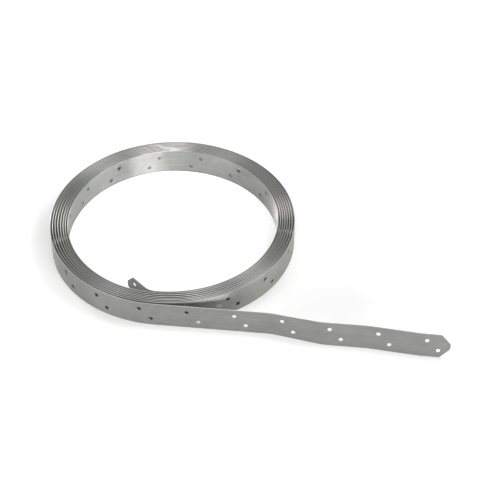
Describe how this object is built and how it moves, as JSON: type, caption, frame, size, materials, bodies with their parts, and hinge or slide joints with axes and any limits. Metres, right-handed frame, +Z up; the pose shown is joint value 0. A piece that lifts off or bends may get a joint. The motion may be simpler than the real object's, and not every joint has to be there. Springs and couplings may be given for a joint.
{
  "type": "coil of galvanized nailing strap",
  "caption": "Flat galvanized steel strap with staggered nail holes, wound into an open coil that lies on its edge, with a drawn-out tail and clipped ends",
  "frame": {"origin": "middle of the coil, on the plane that its lower edges lie on", "axes": "+Z up out of the lying coil; +X along the tail from the coil to the tip; +Y away from the tail to the back of the coil"},
  "size_m": [0.4647, 0.2978, 0.0318],
  "materials": {
    "galvanized": "satin zinc coating, faintly spangled"
  },
  "bodies": {
    "root": {"strap": "galvanized"}
  },
  "joints": []
}
